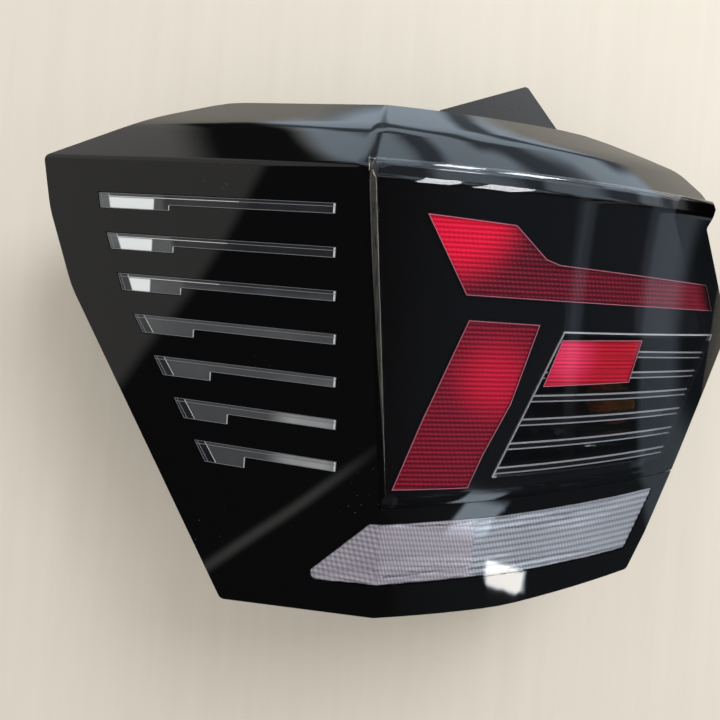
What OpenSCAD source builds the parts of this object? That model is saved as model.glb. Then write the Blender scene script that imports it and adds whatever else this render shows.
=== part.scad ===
// Rear lamp for the corner of a car: a glossy cover with seven light slots, a raised
// smoke lens over red panels and louvres, a clear reversing lens, and the housing behind.
// The face looks toward -Y, +X runs to the inner end of the lamp and +Z is up.
// The origin is where the main stud leaves the seat plane at the back.

/* [Face] */
// How far the slotted face turns away behind the ridge, in degrees
gill_turn = 17.35; // [14:0.05:20]
// Radius of the curved face in plan
face_r = 400; // [370:1:440]
// Heading of the curved face where it leaves the ridge, in degrees
face_turn = 4; // [2:0.5:6]
// Radius of the ridge between the two faces
ridge_r = 62; // [60:1:70]
// Height of the crease between the face and the shoulder, above the face line
crease_h = 97.5; // [92:0.5:102]
// Fillet on that crease
crease_fillet = 5; // [3.5:0.5:8]
// Slope of the shoulder next to the crease, in degrees
shoulder_low_slope = 43; // [40:1:46]
// Slope of the shoulder next to its rear edge, in degrees
shoulder_high_slope = 34; // [31:1:37]
// Run of the steeper part of the shoulder
shoulder_low_run = 26; // [20:1:32]

/* [Outline] */
// Reach of the outer corner, left of the ridge
outer_w = 196.5; // [188:0.5:206]
// Reach of the inner corner, right of the ridge
inner_w = 215; // [208:0.5:224]
// Height of the rear edge of the shoulder above the face line
crown_h = 141; // [137:0.5:144]
// Depth of the lowest corner below the face line
sill_h = 143; // [138:0.5:150]

/* [Depth] */
// Distance from the face at the ridge to the seat plane of the studs
body_depth = 128; // [124:1:140]
// Distance from the housing's back wall to the seat plane, which the seal fills
seat_step = 16; // [12:1:20]
// Depth of the cover's side wall, along the face's normal
cover_depth = 9; // [8:0.5:11]

/* [Walls] */
// Wall of the glossy cover
cover_wall = 2.6; // [2:0.1:3.2]
// Wall of the smoke lens
lens_wall = 2.5; // [2:0.1:3]
// Wall of the housing
housing_wall = 2.8; // [2.2:0.1:3.4]
// How far the smoke lens stands proud of the shoulder's line
lens_proud = 7.5; // [6:0.5:9]
// Rounding along the top of the smoke lens
lens_round = 10; // [7:0.5:12]
// Top of the smoke lens above the face line
lens_top = 101.5; // [99:0.5:104]
// Width of the ledge that the smoke lens stands on
ledge_w = 3.2; // [3:0.1:4]
// Clearance between pieces that are fitted together
fit_gap = 0.3; // [0.2:0.05:0.4]

/* [Slots] */
// Pitch of the light slots
slot_pitch = 22.2; // [21:0.1:23]
// Height of the first slot's top edge above the face line
slot_top = 78.2; // [74:0.2:80]
// Height of the thin part of each slot
slot_thin = 5.6; // [4.6:0.1:6.4]
// Height of the tall part of the first slot
slot_tall = 8.6; // [7.4:0.1:9.6]
// How much taller each following slot is
slot_growth = 0.5; // [0.3:0.1:0.6]
// Distance from the outline to the left end of the slots
slot_margin = 33; // [30:0.5:36]
// Length of the first slot's tall part
slot_block = 44.5; // [40:0.5:47]
// How much shorter each following tall part is
slot_block_step = 2.3; // [1.8:0.1:2.6]
// Depth of the clear blades
blade_d = 9; // [7:0.5:11]
// How far the clear blades lie behind the cover's face
blade_recess = 0.8; // [0.4:0.1:1.5]
// Front wall of a blade's hollow block
blade_front = 2.4; // [1.8:0.1:3]
// Side wall of a blade's hollow block
blade_side = 1.8; // [1.4:0.1:2.2]
// Wall of the pockets that hold the blades
pocket_wall = 1.5; // [1.2:0.1:2]

/* [Inner lenses] */
// How far the red panels stand proud of the bezel
panel_proud = 2; // [1.2:0.1:2.4]
// Thickness of the red panels
panel_t = 3.2; // [2.8:0.1:4]
// Pitch of the ribs on the red panels
rib_pitch = 2.45; // [2:0.05:3]
// Height of the ribs on the red panels
rib_h = 0.8; // [0.5:0.1:1]
// Thickness of the bezel
bezel_t = 2; // [1.6:0.1:2.4]
// Width of the flange round a lens that is seated from behind
flange_w = 2.4; // [1.8:0.1:3]
// Thickness of that flange on the red panels
panel_flange_t = 1.2; // [1:0.1:1.6]
// Thickness of that flange on the reversing lens
reverse_flange_t = 1.6; // [1.2:0.1:2]
// Pitch of the flutes on the reversing lens
flute_pitch = 3.4; // [3:0.1:4]
// Depth of the louvre slats
slat_d = 9; // [6:0.5:10]
// Height of a louvre slat
slat_h = 3.9; // [3.2:0.1:4.6]
// Pitch of the slats at the inner end
slat_pitch = 11; // [10:0.1:12]
// Width of the bright edges
strip_w = 0.9; // [0.6:0.1:1.2]
// Thickness of the bright edges
strip_t = 0.6; // [0.4:0.1:0.8]
// How far the slats lie behind the face
slat_recess = 1; // [0.5:0.1:1.5]
// How far the window's frame stands proud of the face
frame_proud = 1.5; // [1:0.1:2]
// Depth of the stop block
stop_d = 7; // [5:0.5:8]

/* [Bulbs] */
// Radius of the larger bulbs' glass
bulb_r = 12.5; // [11:0.5:13]
// Radius of the reversing bulb's glass
reverse_bulb_r = 8; // [7:0.5:9]
// Radius of the small bulbs' glass
small_bulb_r = 5; // [4:0.5:6]
// Length of the larger bulbs
bulb_len = 52; // [46:1:54]
// Length of the reversing bulb
reverse_bulb_len = 46; // [42:1:50]
// Length of the small bulbs
small_bulb_len = 38; // [34:1:42]
// Radius of a larger bulb's metal base
base_r = 7.5; // [7:0.1:8]
// Radius of a small bulb's metal base
small_base_r = 4.5; // [4.2:0.1:5]
// Depth of the bulb sockets in front of the carrier
socket_d = 22; // [20:1:24]
// Wall of the bulb sockets
socket_wall = 2.2; // [1.8:0.1:2.8]
// Thickness of the bulb carrier's plate
carrier_t = 3; // [2.4:0.1:3.6]

/* [Fixings] */
// Radius of the mounting studs
stud_r = 3; // [2.5:0.25:4]
// Length of a stud behind the seat plane
stud_len = 22; // [16:1:28]
// Radius of a stud's collar
collar_r = 8; // [7:0.5:10]
// Thickness of a stud's collar
collar_t = 2; // [1.5:0.5:3]
// Radius of the guide pins
pin_r = 4; // [3:0.5:5]
// Length of the guide pins from the back wall
pin_len = 25; // [22:1:28]
// Width of the harness connector's shell
plug_w = 34; // [30:1:38]
// Height of the harness connector's shell
plug_h = 18; // [16:1:20]
// Depth of the harness connector's shell
plug_d = 18.5; // [16:0.5:20]
// Wall of the harness connector's shell
plug_wall = 1.6; // [1.2:0.1:2]
// Width of the foam of the body seal
seal_w = 5; // [4:0.5:6]
// Thickness of the bracket's plate
bracket_t = 3; // [2.4:0.1:3.6]

/* [Hidden] */

$fn = 64;
slack = 1;
far = 60;
main_stud = [0, 20];
ridge_centre = [0, ridge_r];
face_centre = [-(face_r - ridge_r) * sin(face_turn), ridge_r + (face_r - ridge_r) * cos(face_turn)];
floor_z = -sill_h - 20;
tall = 400;
back_wall_y = body_depth - seat_step;
left_low = 123.5 - outer_w;
left_mid = 21 - outer_w;
left_high = 5 - outer_w;

// The outline as seen from the front: x, height and corner radius, anticlockwise
OUTLINE = [
    [left_low, -sill_h, 4], [80, -sill_h + 15, 200], [157, -sill_h + 30.5, 3], [167, -sill_h + 51, 40],
    [inner_w, 27, 12], [inner_w - 29.5, 84.5, 4], [inner_w - 22, 96.5, 2], [inner_w - 24, 107, 6],
    [inner_w - 36, crown_h - 21, 20], [118, crown_h - 4, 120], [-96, crown_h, 60],
    [-137, crown_h - 13, 100], [-outer_w, crease_h, 4], [left_high, 68, 60], [left_mid, 24, 60]];
// The left edge of the outline, by height
LEFT_EDGE = [[-sill_h, left_low], [24, left_mid], [68, left_high], [crease_h, -outer_w]];
// The smoke lens, wider than the outline on the right, where the outline trims it
lens_left = [10.8, -9];
lens_low = [-76, -49];
LENS = [[lens_left[0], lens_low[0], 2], [far * 4, lens_low[1], 0], [far * 4, lens_top, 0],
    [lens_left[1], lens_top, 12]];
REVERSE = [[-29, -121.8, 4], [95, -108, 300], [153.5, -100, 2], [169, -65.3, 1], [75, -78, 300],
    [6.5, -84.8, 1]];
UPPER_RED = [[46.6, 36.7, 0.6], [202.6, 38.2, 0.6], [195, 53.3, 0.6], [96, 56.2, 6],
    [88, 58.6, 3], [69.8, 74.4, 3], [23.1, 76.1, 0.6]];
LOWER_RED = [[16.6, -67.3, 0.6], [57, -64.6, 3], [63.7, -46.4, 40], [76.3, -18.8, 60],
    [88.2, 24.2, 0.6], [49.2, 24.1, 0.6], [39.5, -1.8, 80], [28.9, -30.7, 80]];
WINDOW = [[69.5, -59, 0.6], [177.4, -49.5, 0.6], [206.2, 24.4, 0.6], [102.5, 21.4, 0.6]];
STOP = [[93.7, -8.9, 0.4], [146.8, -5.1, 0.4], [152.6, 19, 0.4], [102.2, 16.8, 0.4]];

slot_count = 7;
slat_count = 6;
slat_right = [195, 13.4];
slat_slope = 0.015;
slat_fan = 0.0165;
knee_r = 80;
// The smoke lens reaches this far behind the base form, where it is trimmed to it
lens_root = 15;

carrier_seal_t = 3;
seat_gap = 0.1;
CARRIER = [[72, -98, 12], [106, -98, 14], [168, -40, 14], [168, 10, 14], [70, 74, 12], [34, 74, 12],
    [34, -20, 30]];
carrier_y = back_wall_y + carrier_seal_t;
socket_y = carrier_y - socket_d;
UPPER_BULB = [52, 58];
LOWER_BULB = [60, -14];
STOP_BULB = [118, 4];
TURN_BULB = [150, -22];
REVERSE_BULB = [90, -80.5];

// Unit vector, rotated vector and the arc that rounds the corner q between p and s
function unit(v) = v / norm(v);
function turned(v, a) = [v.x * cos(a) - v.y * sin(a), v.x * sin(a) + v.y * cos(a)];
function flat2(p) = [p.x, p.y];
function corner(p, q, s, r) =
    let (a = unit(p - q), b = unit(s - q), half = acos(a * b) / 2)
    r < 0.05 || half > 89.7 ? [q]
    : let (t = min(r / tan(half), 0.49 * min(norm(p - q), norm(s - q))),
        r_fit = t * tan(half), c = q + unit(a + b) * r_fit / sin(half),
        u = q + a * t - c, sweep = (180 - 2 * half) * sign(cross(q - p, s - q)),
        n = max(2, ceil(abs(sweep) / 15)))
    [for (i = [0:n]) c + turned(u, sweep * i / n)];
function rounded(pts) = let (n = len(pts))
    [for (i = [0:n - 1], p = corner(flat2(pts[(i + n - 1) % n]), flat2(pts[i]),
        flat2(pts[(i + 1) % n]), pts[i].z)) p];
// The outline moved inward by d, outward when d is negative
function inset(pts, d) = let (n = len(pts))
    [for (i = [0:n - 1])
        let (p = flat2(pts[(i + n - 1) % n]), q = flat2(pts[i]), s = flat2(pts[(i + 1) % n]),
            e = unit(q - p), f = unit(s - q), a = [-e.y, e.x], b = [-f.y, f.x],
            m = q + d * (a + b) / (1 + a * b),
            r = cross(e, f) > 0 ? pts[i].z - d : pts[i].z + d)
        [m.x, m.y, pts[i].z == 0 ? 0 : max(r, 0.3)]];

// Everything on the face is placed from the face line, the rest from the main stud
module from_face() translate([-main_stud.x, -body_depth, -main_stud.y]) children();

module through(pts, y0 = -40, y1 = body_depth + 22)
    rotate([90, 0, 0]) translate([0, 0, -y1]) linear_extrude(y1 - y0) polygon(rounded(pts));

// Section of the face and shoulder, moved outward by d: distance out and height
function shoulder_section(d, back) =
    let (u = [-cos(shoulder_low_slope), sin(shoulder_low_slope)],
        v = [-cos(shoulder_high_slope), sin(shoulder_high_slope)],
        knee = [-shoulder_low_run, crease_h + shoulder_low_run * tan(shoulder_low_slope)],
        crease = [d, crease_h - d * tan(shoulder_low_slope) + d / cos(shoulder_low_slope)],
        bend = (shoulder_low_slope - shoulder_high_slope) / 2,
        mid = (shoulder_low_slope + shoulder_high_slope) / 2,
        knee_d = knee + [sin(mid), cos(mid)] * d / cos(bend),
        end = knee_d + v * (back + knee_d.x) / cos(shoulder_high_slope))
    rounded([[-back, floor_z, 0], [d, floor_z, 0], [crease.x, crease.y, crease_fillet + d],
        [knee_d.x, knee_d.y, knee_r], [end.x, end.y, 0]]);
function shifted(pts, r) = [for (p = pts) [p.x + r, p.y]];

// A section swept straight along a face of the ridge at this heading, touching the ridge's radius
module along_heading(a)
    translate([ridge_centre.x - ridge_r * sin(a), ridge_centre.y - ridge_r * cos(a), 0])
        rotate([0, 0, -90 - a]) rotate([90, 0, 0]) translate([0, 0, -inner_w - far])
            linear_extrude(outer_w + inner_w + 2 * far) children();
module along_gill() along_heading(gill_turn) children();

module round_face(from = -40, to = 56)
    translate([face_centre.x, face_centre.y, 0]) rotate([0, 0, from - 90])
        rotate_extrude(angle = to - from) children();

// The base form, moved out by d: slotted face, facets round the ridge and curved face, with their shoulder
module form(d, back = 200) intersection() {
    along_gill() polygon(shoulder_section(d, back));
    along_heading(ridge_facet(1)) polygon(shoulder_section(d, back));
    along_heading(ridge_facet(2)) polygon(shoulder_section(d, back));
    along_heading(ridge_facet(3)) polygon(shoulder_section(d, back));
    round_face() polygon(shifted(shoulder_section(d, back), face_r));
}
function ridge_facet(i) = gill_turn - i * (gill_turn + face_turn) / 4;

// The plane of the slotted face carried on past the ridge
module gill_slab(d, t) along_gill() translate([d - t, floor_z]) square([t, tall]);

// The raised face: a cylinder proud of the base form
module raised_face(d, t)
    round_face(-12) translate([face_r + lens_proud + d - t, floor_z]) square([t, tall]);

// The lower body, where the slotted face runs on to a ridge with the raised face
module belly(d, t = far) intersection() {
    gill_slab(d, body_depth + 22);
    raised_face(d, t);
}

// The zone of the belly: left of the smoke lens up to the crease, and all below the lens
belly_left = -50;
belly_top = 90;
BELLY_ZONE = [[belly_left, floor_z + 5, 0], [far * 4, floor_z + 5, 0], [far * 4, lens_low[1] - fit_gap, 0],
    [lens_left[0] - fit_gap, lens_low[0] - fit_gap, 0], [lens_left[1] + 1.4 - fit_gap, belly_top, 0],
    [belly_left, belly_top, 0]];

module black_cover() color([0.02, 0.02, 0.025]) from_face() difference() {
    intersection() {
        union() {
            form(0);
            intersection() {
                belly(0);
                through(BELLY_ZONE);
            }
        }
        through(OUTLINE);
    }
    intersection() {
        union() {
            form(-cover_wall);
            intersection() {
                belly(-cover_wall);
                through(inset(BELLY_ZONE, cover_wall));
            }
        }
        through(inset(OUTLINE, cover_wall));
    }
    form(-cover_depth);
    intersection() {
        through(inset(LENS, ledge_w), y1 = back_wall_y - 17);
        through(inset(OUTLINE, ledge_w), y1 = back_wall_y - 17);
    }
    through(inset(REVERSE, -fit_gap), y1 = far);
    for (i = [0:slot_count - 1]) through(inset(slot_outline(i), -fit_gap), y1 = far);
}

// Outline of light slot i: a tall block at the left and a thin bar to the right end
function slot_z(i) = slot_top - i * slot_pitch;
function slot_left(z) = lookup(z, LEFT_EDGE) + slot_margin;
function slot_right(i) = lens_left[1] - 14.4 + 1.7 * i;
function slot_outline(i) =
    let (z = slot_z(i), h = slot_tall + i * slot_growth, l = slot_left(z),
        s = l + slot_block - i * slot_block_step)
    [[slot_left(z - h), z - h, 0], [s, z - h, 0], [s, z - slot_thin, 0],
        [slot_right(i), z - slot_thin, 0], [slot_right(i), z, 0], [l, z, 0]];

module gill_blade(i) color([0.75, 0.78, 0.8]) from_face() difference() {
    intersection() {
        gill_slab(-blade_recess, blade_d);
        through(slot_outline(i));
    }
    // The clear block is hollowed from behind, as a light guide's pocket
    intersection() {
        gill_slab(-blade_recess - blade_front, blade_d);
        through(inset(slot_block_outline(i), blade_side));
    }
}
function slot_block_outline(i) =
    let (z = slot_z(i), h = slot_tall + i * slot_growth, l = slot_left(z),
        s = l + slot_block - i * slot_block_step)
    [[slot_left(z - h), z - h, 0], [s, z - h, 0], [s, z, 0], [l, z, 0]];

module gill_carrier() color([0.06, 0.06, 0.06]) from_face() difference() {
    union() {
        intersection() {
            gill_slab(-cover_wall - fit_gap, 2);
            through(GILL_PLATE);
        }
        for (i = [0:slot_count - 1]) intersection() {
            gill_slab(-cover_wall - fit_gap, blade_d + blade_recess);
            through(inset(slot_outline(i), -pocket_wall - fit_gap));
        }
    }
    for (i = [0:slot_count - 1]) intersection() {
        gill_slab(0, blade_d + blade_recess + fit_gap);
        through(inset(slot_outline(i), -fit_gap));
    }
}
plate_edge = 5;
gill_low = slot_z(slot_count - 1) - slot_tall - slot_growth * (slot_count - 1) - plate_edge;
gill_high = slot_top + plate_edge;
GILL_PLATE = [[slot_left(gill_low) - 8, gill_low, 3], [slot_right(slot_count - 1) + plate_edge, gill_low, 3],
    [slot_right(0) + plate_edge, gill_high, 3], [slot_left(slot_top) - 8, gill_high, 3]];

module smoke_lens() color([0.12, 0.12, 0.13]) from_face() difference() {
    intersection() {
        lens_form(0);
        through(LENS);
        through(OUTLINE);
    }
    intersection() {
        lens_form(-lens_wall);
        through(inset(LENS, lens_wall));
        through(inset(OUTLINE, lens_wall));
    }
    form(0.1);
}
module lens_form(d) round_face(-8) polygon(shifted(rounded([[-lens_root, floor_z, 0],
    [lens_proud + d, floor_z, 0], [lens_proud + d, lens_top + d, lens_round + d],
    [-lens_root, lens_top + d, 0]]), face_r));

module belly_sheet(d, t) difference() {
    belly(d);
    belly(d - t);
}
module reverse_lens() color([0.85, 0.86, 0.9]) from_face() difference() {
    union() {
        intersection() {
            belly_sheet(0, cover_wall + fit_gap + reverse_flange_t);
            through(REVERSE, y1 = far);
        }
        intersection() {
            belly_sheet(-cover_wall - fit_gap, reverse_flange_t);
            through(inset(REVERSE, -flange_w), y1 = far);
        }
    }
    for (i = [0:8]) reverse_flute(i * flute_pitch);
}
// An optical flute on the back of the reversing lens, up its slope by z
flute_left = [48, -108];
flute_right = [150, -94.5];
flute_w = 1.5;
flute_top = 1.6;
module reverse_flute(z) intersection() {
    raised_face(-flute_top, 6);
    let (a = flute_left + [0, z], b = flute_right + [0, z * 0.98])
        through([[a.x, a.y, 0], [b.x, b.y, 0], [b.x, b.y + flute_w, 0], [a.x, a.y + flute_w, 0]]);
}

// A ring of the curved face between two distances from the base form
module face_ring(out, in) round_face(-8) translate([face_r + in, floor_z]) square([out - in, tall]);

// A ribbed lens seated from behind in an opening of the bezel
module ribbed_lens(pts, z0, z1) difference() {
    union() {
        intersection() {
            face_ring(panel_proud, -bezel_t - fit_gap);
            through(pts);
        }
        intersection() {
            face_ring(-bezel_t - fit_gap, panel_back);
            through(inset(pts, -flange_w));
            through(inset(LENS, rim_in + fit_gap));
            through(inset(OUTLINE, rim_in + fit_gap));
        }
    }
    intersection() {
        round_face(-8) polygon(rib_section(z0, z1));
        through(inset(pts, 0.8));
    }
}
function rib_section(z0, z1) =
    let (n = floor((z1 - z0) / rib_pitch), r = face_r + panel_proud - panel_t)
    concat([[r - 10, z0]],
        [for (i = [0:n - 1], k = [0, 1]) [r + rib_h * k, z0 + (i + k) * rib_pitch - 0.05 * k]],
        [[r - 10, z0 + n * rib_pitch]]);

module upper_red_lens() color([0.7, 0.02, 0.1]) from_face() ribbed_lens(UPPER_RED, 37.6, 75.4);
module lower_red_lens() color([0.7, 0.02, 0.1]) from_face() ribbed_lens(LOWER_RED, -66.2, 23.6);
module stop_lens() color([0.75, 0.02, 0.08]) from_face() intersection() {
    difference() {
        face_ring(1, 1 - stop_d);
        round_face(-8) polygon(rib_section(-40, 19));
    }
    through(STOP);
}

// The bezel: a curved plate with a rim inside the cover's opening and a flange behind its ledge
module inner_bezel() color([0.03, 0.03, 0.035]) from_face() difference() {
    union() {
        trim(rim_in - rim_t) face_ring(0, -bezel_t);
        difference() {
            union() {
                trim(rim_in - rim_t) face_ring(0, flange_back);
                intersection() {
                    face_ring(flange_back + bezel_t, flange_back);
                    through(inset(LENS, ledge_w - 3));
                    through(inset(OUTLINE, cover_wall + fit_gap));
                    through(BELOW_CREASE);
                }
            }
            trim(rim_in) face_ring(slack, flange_back - slack);
        }
    }
    through(inset(UPPER_RED, -fit_gap));
    through(inset(LOWER_RED, -fit_gap));
    through(inset(WINDOW, -fit_gap));
}
rim_t = 2;
rim_in = ledge_w + fit_gap + rim_t;
// The flange lies a ridge facet's depth further back than the cover's wall
flange_back = -cover_wall - fit_gap - bezel_t - 1;
BELOW_CREASE = [[-50, floor_z, 0], [far * 4, floor_z, 0], [far * 4, crease_h - 8, 0], [-50, crease_h - 8, 0]];
module trim(d) intersection() {
    children();
    through(inset(LENS, d));
    through(inset(OUTLINE, d));
}

// The window behind the lens: a bright frame, slats with bright edges and the red stop block
module window_frame() color([0.8, 0.8, 0.82]) from_face() difference() {
    intersection() {
        face_ring(frame_proud, panel_back);
        through(WINDOW);
    }
    through(inset(WINDOW, strip_w));
}

function slat_z(i, x) = slat_right.y - i * slat_pitch + (slat_slope + i * slat_fan) * (x - slat_right.x);
function slat_band(i, up, h) = [[20, slat_z(i, 20) - up - h, 0], [230, slat_z(i, 230) - up - h, 0],
    [230, slat_z(i, 230) - up, 0], [20, slat_z(i, 20) - up, 0]];
SLAT_ZONE = inset(WINDOW, strip_w + fit_gap);
strip_low = strip_w * 0.7;

module slats(in, out, up, h) for (i = [0:slat_count - 1]) intersection() {
    face_ring(out, in);
    through(slat_band(i, up, h));
    through(SLAT_ZONE);
}

module louvre() color([0.05, 0.05, 0.06]) from_face() difference() {
    union() {
        slats(-slat_d, -slat_recess, 0, slat_h);
        difference() {
            intersection() {
                face_ring(-slat_recess - 0.5, -slat_d);
                through(SLAT_ZONE);
            }
            through(inset(SLAT_ZONE, 1.2));
        }
    }
    difference() {
        through(inset(STOP, -fit_gap));
        face_ring(-stop_d, -far);
    }
}

module chrome_strips() color([0.85, 0.85, 0.87]) from_face() difference() {
    union() {
        slats(-slat_recess, strip_t - slat_recess, 0, strip_w);
        slats(-slat_recess, strip_t - slat_recess, slat_h - strip_low, strip_low);
    }
    through(inset(STOP, -fit_gap));
}

// Reflectors: a dish about the bulb, cut to the outline of the window that it serves
module dish(at, focus, t) translate([at.x, dish_y, at.y]) rotate([90, 0, 0]) rotate_extrude()
    let (rim = sqrt(4 * focus * dish_h))
        polygon(concat([[0, dish_h + slack]], [for (i = [0:10]) let (r = rim * i / 10)
            [r, r * r / (4 * focus) - t]], [[rim, dish_h + slack]]));
dish_h = body_depth - 8;
dish_focus = 34;

module reflector(pts, at, hole_r, front) difference() {
    intersection() {
        form(front);
        dish(at, dish_focus, reflector_t);
        through(inset(pts, -2 * reflector_t), y1 = dish_y + 4);
        through(inset(LENS, rim_in + fit_gap));
        through(inset(OUTLINE, bowl_inset + housing_wall + fit_gap));
    }
    intersection() {
        dish(at, dish_focus, 0);
        through(inset(pts, -reflector_t));
        through(inset(LENS, rim_in + fit_gap + reflector_t));
        through(inset(OUTLINE, bowl_inset + housing_wall + fit_gap + reflector_t));
    }
    tube_y(at, hole_r, 0, back_wall_y);
}
reflector_t = 1.8;
dish_y = socket_y - 4;
panel_back = -bezel_t - fit_gap - panel_flange_t;

module upper_reflector() color([0.8, 0.8, 0.8]) from_face()
    reflector(UPPER_RED, UPPER_BULB, small_bulb_r + 1.5, panel_back - fit_gap);
module lower_reflector() color([0.8, 0.8, 0.8]) from_face()
    reflector(LOWER_RED, LOWER_BULB, small_bulb_r + 1.5, panel_back - fit_gap);
module window_reflector() color([0.5, 0.5, 0.5]) from_face() difference() {
    reflector(WINDOW, TURN_BULB, base_r + 3, -slat_d - fit_gap);
    tube_y(STOP_BULB, bulb_r + 1, 0, back_wall_y);
}
module reverse_reflector() color([0.8, 0.8, 0.8]) from_face() difference() {
    intersection() {
        belly(-cover_wall - fit_gap - reverse_flange_t - fit_gap, body_depth + 12);
        dish(REVERSE_BULB, dish_focus, reflector_t);
        through(inset(REVERSE, 2), y1 = dish_y + 4);
    }
    intersection() {
        dish(REVERSE_BULB, dish_focus, 0);
        through(inset(REVERSE, 2 + reflector_t));
    }
    tube_y(REVERSE_BULB, base_r + 3, 0, back_wall_y);
}

// A bulb with its axis along Y: glass to the front, metal base in the socket
bulb_seat = 4;
base_len = 19;
neck = 0.72;
module bulb(at, r, len, base) from_face()
    translate([at.x, carrier_y - bulb_seat, at.y]) rotate([90, 0, 0]) rotate_extrude()
        polygon(rounded([[0, 0, 0], [base, 0, 1], [base, base_len, 0], [base * neck, base_len + 1, 0],
            [base * neck, base_len + 4, 0], [r, base_len + 4 + r * 0.7, r * 0.6],
            [r, len, r * 0.95], [0, len, 0]]));

module upper_tail_bulb() color([0.9, 0.9, 0.85]) bulb(UPPER_BULB, small_bulb_r, small_bulb_len, small_base_r);
module lower_tail_bulb() color([0.9, 0.9, 0.85]) bulb(LOWER_BULB, small_bulb_r, small_bulb_len, small_base_r);
module stop_bulb() color([0.9, 0.9, 0.85]) bulb(STOP_BULB, bulb_r, bulb_len, base_r);
module turn_bulb() color([0.95, 0.6, 0.15]) bulb(TURN_BULB, bulb_r, bulb_len, base_r);
module reverse_bulb() color([0.9, 0.9, 0.85]) bulb(REVERSE_BULB, reverse_bulb_r, reverse_bulb_len, base_r);

module tube_y(at, r, y0, y1) translate([at.x, y0, at.y]) rotate([-90, 0, 0]) cylinder(r = r, h = y1 - y0);

base_fit = 0.2;
big_sockets = [STOP_BULB, TURN_BULB, REVERSE_BULB];
small_sockets = [UPPER_BULB, LOWER_BULB];
module sockets(wall, y0, y1) {
    for (p = big_sockets) tube_y(p, base_r + base_fit + wall, y0, y1);
    for (p = small_sockets) tube_y(p, small_base_r + base_fit + wall, y0, y1);
}
module bulb_carrier() color([0.12, 0.12, 0.12]) from_face() difference() {
    union() {
        through(CARRIER, carrier_y, carrier_y + carrier_t);
        for (p = EARS) tube_y(p, 6, carrier_y, carrier_y + carrier_t);
        sockets(socket_wall, socket_y, carrier_y + carrier_t + 3);
        connector_shell(0);
    }
    sockets(0, socket_y - slack, carrier_y - bulb_seat + fit_gap);
    for (p = EARS) tube_y(p, screw_r + base_fit, 0, carrier_y + far);
    connector_shell(plug_wall);
    for (i = [0:pin_count - 1]) translate(pin_at(i)) cube([1, 40, 1], center = true);
}
EARS = [[31, 20], [171, -15], [90, -101]];
ear_boss_r = 3.8;
screw_r = 1.9;
connector_at = [112, -56];
pin_count = 6;
pin_pitch = 4;
carrier_back = carrier_y + carrier_t;
module connector_shell(d)
    translate([connector_at.x - plug_w / 2 + d, carrier_back - 0.5 + d, connector_at.y - plug_h / 2 + d])
        cube([plug_w - 2 * d, plug_d + 0.5, plug_h - 2 * d]);
function pin_at(i) = let (middle = (pin_count - 1) / 2)
    [connector_at.x + pin_pitch * (i - middle), carrier_back + 2, connector_at.y];

module connector_pins() color([0.8, 0.75, 0.5]) from_face()
    for (i = [0:pin_count - 1]) translate(pin_at(i)) cube([0.8, 17, 0.8], center = true);

// Contact strips let into the front of the carrier, each from one point to another
STRIPS = [[[66, 56], [104, 28]], [[72, -22], [104, -8]], [[100, -68], [126, -64]]];
strip_half = 2;
contact_t = 0.9;
module contact_strips() color([0.85, 0.8, 0.6]) from_face() for (s = STRIPS)
    let (a = s[0], b = s[1])
        through([[a.x, a.y - strip_half, 0], [b.x, b.y - strip_half, 0], [b.x, b.y + strip_half, 0],
            [a.x, a.y + strip_half, 0]], carrier_y - contact_t, carrier_y);

module carrier_seal() color([0.16, 0.16, 0.16]) from_face() difference() {
    through(inset(CARRIER, 1), back_wall_y + seat_gap, carrier_y - seat_gap);
    through(inset(CARRIER, 1 + seal_w));
}

module carrier_screws() color([0.6, 0.6, 0.62]) from_face() for (p = EARS) {
    tube_y(p, 4, carrier_y + carrier_t + seat_gap / 2, carrier_y + carrier_t + 2.4);
    tube_y(p, screw_r, back_wall_y - 8, carrier_y + carrier_t + 1);
}

module body_seal() color([0.16, 0.16, 0.16]) from_face() difference() {
    through(inset(CARRIER, -11 - seal_w), back_wall_y + seat_gap, body_depth);
    through(inset(CARRIER, -11));
}

STUDS = [main_stud, [-128, 46], [-44, -92]];
module mounting_studs() color([0.62, 0.62, 0.65]) from_face() for (p = STUDS) {
    tube_y(p, collar_r, body_depth - collar_t, body_depth);
    tube_y(p, stud_r, body_depth - 14, body_depth + stud_len);
}

GUIDES = [[188, 30], [156, -84]];
module guide_pins() color([0.05, 0.05, 0.05]) from_face() for (p = GUIDES)
    translate([p.x, back_wall_y + seat_gap, p.y]) rotate([-90, 0, 0]) rotate_extrude()
        polygon([[0, 0], [pin_r + 3, 0], [pin_r + 3, 2.5], [pin_r, 3.5], [pin_r, pin_len - 5],
            [pin_r - 2.5, pin_len], [0, pin_len]]);

VENTS = [[132, 92], [-150, 20]];
module vent_caps() color([0.2, 0.2, 0.2]) from_face() for (p = VENTS)
    translate([p.x, back_wall_y + seat_gap, p.y]) rotate([-90, 0, 0]) rotate_extrude()
        polygon([[0, 0], [5, 0], [5, 3], [8, 3], [8, 7], [6, 8.5], [0, 8.5]]);

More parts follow.
